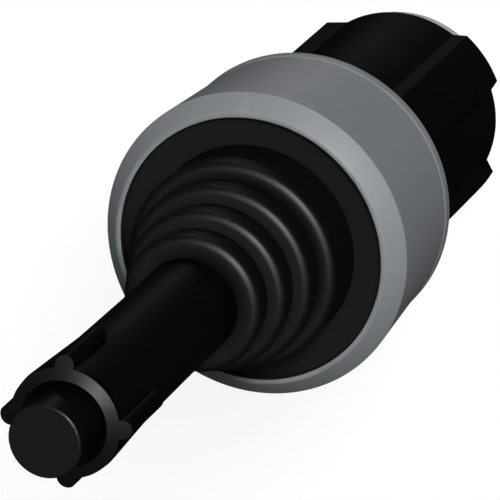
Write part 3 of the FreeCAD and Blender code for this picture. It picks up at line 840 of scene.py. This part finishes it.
@dataclass
class Boot:
    """The stepped rubber bellows, in a lower and an upper piece that meet in a crease.

    Sizes are in millimetres.
    """

    flange_r: float = 12.2
    flange_low: float = 12.4
    foot_r: float = 9.6
    foot_low: float = 13.6
    foot_straight: float = 15.8
    bulge: float = 0.3
    first_shoulder: float = 21.0
    steps: tuple = ((1.05, 3.45), (1.15, 3.45), (1.15, 3.4))
    undercut: float = 0.5
    ridge_round: float = 0.7
    crease_round: float = 0.0
    foot_round: float = 0.25
    neck_r: float = 4.38
    neck_low: float = 28.5
    neck_step: float = 0.12
    neck_drop: float = 0.05
    wall: float = 0.6
    wall_drop: float = 0.36
    bend_low: float = 15.5
    bend_high: float = 27.5
    corner_steps: int = 8
    segments: int = 160

    def outline(self) -> list[tuple]:
        """Outer outline from the foot to the lip on the lever."""
        points: list[tuple] = [
            (self.foot_r, self.foot_low),
            (self.foot_r, self.foot_straight, self.foot_round),
        ]
        radius = self.foot_r + self.bulge
        height = self.first_shoulder
        points.append((radius, height, self.ridge_round))
        for inwards, upwards in self.steps:
            radius -= inwards
            points.append((radius - self.undercut, height, self.crease_round))
            height += upwards
            points.append((radius, height, self.ridge_round))
        points.append((self.neck_r + self.neck_step, height))
        return points

    def seam_index(self, outline: Profile) -> int:
        """Index of the outline's point at the bottom of the first crease."""
        crease_r = self.foot_r + self.bulge - self.steps[0][0] - self.undercut
        target = Vector((crease_r, self.first_shoulder))
        return min(range(len(outline)), key=lambda i: (Vector(outline[i]) - target).length)

    def inner(self, points: Profile) -> Profile:
        """The inside of the wall behind points of the outer outline, from the top down."""
        shifted = [(r - self.wall, z - self.wall_drop) for r, z in points]
        return list(reversed(shifted))

    def lower_section(self, outer: Profile, seam: int) -> Profile:
        """Closed section of the lower piece: flange, foot and first ridge."""
        flange = [(self.flange_r, self.flange_low), (self.flange_r, self.foot_low)]
        foot = [(self.foot_r - self.wall, self.flange_low)]
        return flange + outer[: seam + 1] + self.inner(outer[1 : seam + 1]) + foot

    def upper_section(self, outer: Profile, seam: int) -> Profile:
        """Closed section of the upper piece: the other ridges and the neck."""
        neck = [(self.neck_r, outer[-1][1] - self.neck_drop), (self.neck_r, self.neck_low)]
        inside = [
            (max(r, self.neck_r), z) for r, z in self.inner(outer[seam:-1]) if z < self.neck_low
        ]
        return outer[seam:] + neck + inside

    def build(self, shop: Workshop) -> None:
        """Make both pieces in place of the bellows solid.

        Args:
            shop: The finishes and solids.
        """
        outer = rounded(self.outline(), self.corner_steps)
        seam = self.seam_index(outer)
        low_piece = lathe("bellows_lower", self.lower_section(outer, seam), self.segments)
        high_piece = lathe("bellows_upper", self.upper_section(outer, seam), self.segments)
        for piece in (low_piece, high_piece):
            shop.finish_piece(piece, BOOT_RUBBER, ("bellows",))
        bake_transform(low_piece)
        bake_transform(high_piece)


@dataclass(frozen=True)
class Sun:
    """A lamp far away.

    Attributes:
        name: Name of the lamp.
        azimuth: Angle about Z of the direction to the lamp, in degrees from +X.
        elevation: Angle of that direction over the XY plane, in degrees.
        strength: Its strength.
        size_deg: Its apparent size.
        gloss_only: Whether it shows only as a highlight.
    """

    name: str
    azimuth: float
    elevation: float
    strength: float
    size_deg: float
    gloss_only: bool = True

    def build(self) -> None:
        """Add the lamp to the scene."""
        data = bpy.data.lights.new(self.name, "SUN")
        data.energy = self.strength
        data.angle = math.radians(self.size_deg)
        lamp = bpy.data.objects.new(self.name, data)
        bpy.context.scene.collection.objects.link(lamp)
        around = math.radians(self.azimuth)
        above = math.radians(self.elevation)
        level = math.cos(above)
        direction = Vector((level * math.cos(around), level * math.sin(around), math.sin(above)))
        lamp.rotation_mode = "QUATERNION"
        lamp.rotation_quaternion = direction.to_track_quat("Z", "Y")
        if self.gloss_only:
            lamp.visible_diffuse = False


# The key lamp lights the surfaces, and the others draw the highlights on the black parts
SUNS = (
    Sun("key_lamp", 52.0, 48.0, 3.5, 18.0, gloss_only=False),
    Sun("low_gloss_lamp", 46.0, 42.0, 60.0, 16.0),
    Sun("high_gloss_lamp", 46.0, 75.0, 22.0, 14.0),
    Sun("rim_gloss_lamp", 113.0, -62.0, 2.6, 12.0),
    Sun("wall_gloss_lamp", 107.0, -42.0, 5.5, 8.0),
)


@dataclass
class Studio:
    """Floor, background, lamps and the camera at the photograph's angle.

    Lengths are in metres unless they say otherwise.
    """

    floor_size: float = 1.2
    floor_z: float = -0.0285
    camera_mm: tuple = (176.618, 185.954, 495.428)
    right: tuple = (0.93894, -0.00451, -0.34406)
    up: tuple = (-0.11371, 0.93967, -0.32263)
    toward: tuple = (0.32476, 0.34205, 0.88178)
    lens_mm: float = 432.0
    sensor_mm: float = 36.0
    clip: tuple = (0.01, 10.0)
    fill_world: float = 0.085
    floor_glow: float = 0.9
    floor_shade: float = 0.13

    def build(self) -> None:
        """Make the whole studio."""
        self.make_camera()
        self.make_world()
        self.make_floor()
        for sun in SUNS:
            sun.build()

    def make_camera(self) -> None:
        """Place the camera."""
        data = bpy.data.cameras.new("photo_camera")
        data.lens = self.lens_mm
        data.sensor_width = self.sensor_mm
        data.clip_start, data.clip_end = self.clip
        camera = bpy.data.objects.new("photo_camera", data)
        bpy.context.scene.collection.objects.link(camera)
        turn = Matrix((self.right, self.up, self.toward)).transposed()
        place = Matrix.Translation(Vector(self.camera_mm) * MM)
        camera.matrix_world = place @ turn.to_4x4()
        bpy.context.scene.camera = camera

    def make_world(self) -> None:
        """White where it is seen or mirrored, plain elsewhere."""
        world = bpy.data.worlds.new("studio")
        bpy.context.scene.world = world
        world.use_nodes = True
        world.node_tree.nodes.clear()
        sketch = NodeSketch(world.node_tree)
        mix = sketch.add("ShaderNodeMixShader")
        output = sketch.add("ShaderNodeOutputWorld")
        sketch.join(seen_or_mirrored(sketch), mix.inputs[0])
        for slot, strength in ((mix.inputs[1], self.fill_world), (mix.inputs[2], 1.0)):
            glow = sketch.add("ShaderNodeBackground")
            glow.inputs["Color"].default_value = WHITE
            glow.inputs["Strength"].default_value = strength
            sketch.join(glow.outputs[0], slot)
        sketch.join(mix.outputs[0], output.inputs["Surface"])

    def make_floor(self) -> None:
        """A plain pale floor under the part's rear end."""
        half = self.floor_size / 2.0
        z = self.floor_z
        corners = [(-half, -half, z), (half, -half, z), (half, half, z), (-half, half, z)]
        floor = new_piece("floor", corners, [(0, 1, 2, 3)])
        material = bpy.data.materials.new("floor_white")
        material.use_nodes = True
        material.node_tree.nodes.clear()
        sketch = NodeSketch(material.node_tree)
        paint = sketch.add("ShaderNodeBsdfDiffuse")
        shade = self.floor_shade
        paint.inputs["Color"].default_value = (shade, shade, shade, 1.0)
        glow = sketch.add("ShaderNodeEmission")
        strength = sketch.math("MULTIPLY", seen_or_mirrored(sketch), self.floor_glow)
        sketch.join(strength, glow.inputs["Strength"])
        both = sketch.add("ShaderNodeAddShader")
        output = sketch.add("ShaderNodeOutputMaterial")
        sketch.join(paint.outputs[0], both.inputs[0])
        sketch.join(glow.outputs[0], both.inputs[1])
        sketch.join(both.outputs[0], output.inputs["Surface"])
        floor.data.materials.append(material)
        floor.visible_shadow = False
        floor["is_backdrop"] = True


def corners(box: tuple) -> list[list[float]]:
    """The lowest and highest corner of a box as plain lists."""
    return [list(box[0]), list(box[1])]


def main(frame: dict, cad_box: list[list[float]]) -> None:
    """Build and dress every piece.

    Args:
        cad_box: The solids' box; not used.
    """
    logging.basicConfig(level=logging.INFO, format="%(message)s")
    bpy.context.scene.view_settings.view_transform = "Standard"
    shop = Workshop(frame)
    shop.dress(PLATE_PLASTIC, "boot_clamp_ring", "tip_button")
    shop.dress(GRIP_PLASTIC, "grip_sleeve", "button_bush")
    shop.dress(END_PLASTIC, "grip_end_collar")
    shop.dress(HOUSING_PLASTIC, "collar_housing")
    shop.dress(BOOT_RUBBER, "panel_gasket", "housing_seal")
    shop.dress(
        GROUND_STEEL,
        "gate_plate",
        "ring_pivot_pins",
        "lever_pivot_pins",
        "lever_tube",
        "swash_plate",
        "push_rod",
        "spring_seat",
    )
    shop.dress(
        WIRE_STEEL,
        "hub_clip",
        "button_spring",
        "spring_centre",
        "spring_east",
        "spring_north",
        "spring_west",
        "spring_south",
    )
    shop.dress(TURNED_BRASS, "gimbal_ring")
    shop.dress(
        NATURAL_ACETAL,
        "lever_hub",
        "plunger_guide",
        "centre_plunger",
        "plunger_east",
        "plunger_north",
        "plunger_west",
        "plunger_south",
    )
    shop.dress(CAP_PLASTIC, "rear_cap")
    Bezel().build(shop)
    Boot().build(shop)
    Studio().build()
    bpy.context.view_layer.update()


if __name__ == "__main__":
    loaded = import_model()
    main(loaded, corners(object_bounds()))
